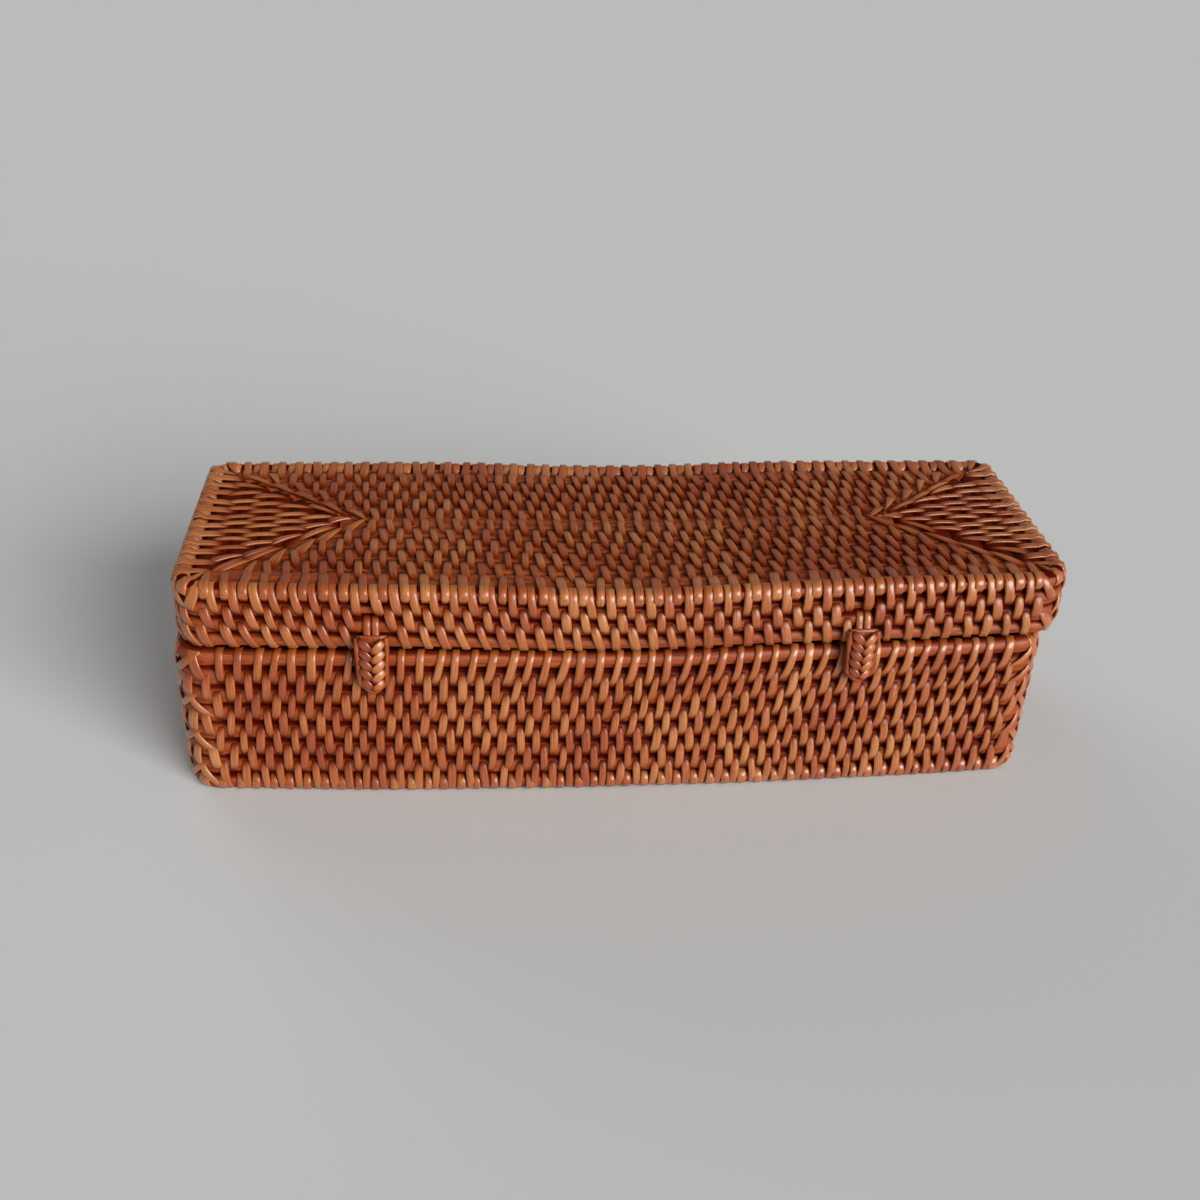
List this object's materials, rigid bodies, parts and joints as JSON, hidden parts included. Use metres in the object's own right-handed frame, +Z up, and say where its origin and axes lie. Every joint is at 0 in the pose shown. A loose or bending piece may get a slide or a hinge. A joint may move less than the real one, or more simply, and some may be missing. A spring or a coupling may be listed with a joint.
{
  "type": "woven glasses case",
  "caption": "Long rectangular case of coiled, strip-bound rattan cane with a lashed hinged lid and plaited pull tabs, for keeping a pair of glasses.",
  "frame": {"origin": "middle of the base's underside, on the floor's core cane", "axes": "+X along the length (right in the picture), -Y towards the front with the tabs, +Z up"},
  "size_m": [0.1864, 0.0628, 0.0508],
  "materials": {
    "base_cane": "lacquered rattan cane bound with half-round strip",
    "lid_cane": "lacquered rattan cane bound with half-round strip",
    "strip": "lacquered rattan strip"
  },
  "bodies": {
    "base": {"base_floor_core": "base_cane", "base_floor_round_1": "base_cane", "base_floor_round_2": "base_cane", "base_floor_round_3": "base_cane", "base_floor_round_4": "base_cane", "base_floor_round_5": "base_cane", "base_wall_course_1": "base_cane", "base_wall_course_2": "base_cane", "base_wall_course_3": "base_cane", "base_wall_course_4": "base_cane", "base_wall_course_5": "base_cane", "base_wall_course_6": "base_cane", "base_wall_course_7": "base_cane", "base_wall_course_8": "base_cane", "hinge_lashing_left": "strip", "hinge_lashing_right": "strip"},
    "lid": {"lid_top_core": "lid_cane", "lid_top_round_1": "lid_cane", "lid_top_round_2": "lid_cane", "lid_top_round_3": "lid_cane", "lid_top_round_4": "lid_cane", "lid_top_round_5": "lid_cane", "lid_wall_course_1": "lid_cane", "lid_wall_course_2": "lid_cane", "lid_wall_course_3": "lid_cane", "lid_wall_course_4": "lid_cane"},
    "tab_left": {"tab_left_loop": "strip", "tab_left_plait": "strip"},
    "tab_right": {"tab_right_loop": "strip", "tab_right_plait": "strip"}
  },
  "joints": [
    {"name": "lid_hinge", "type": "hinge", "parent": "base", "child": "lid", "pos_m": [0, 0.02655, 0.03818], "axis": [-1, 0, 0], "range_deg": [0, 100]},
    {"name": "tab_left_swing", "type": "hinge", "parent": "lid", "child": "tab_left", "pos_m": [-0.051, -0.02833, 0.04183], "axis": [-1, 0, 0], "range_deg": [0, 45]},
    {"name": "tab_right_swing", "type": "hinge", "parent": "lid", "child": "tab_right", "pos_m": [0.0496, -0.02854, 0.04183], "axis": [-1, 0, 0], "range_deg": [0, 45]}
  ]
}
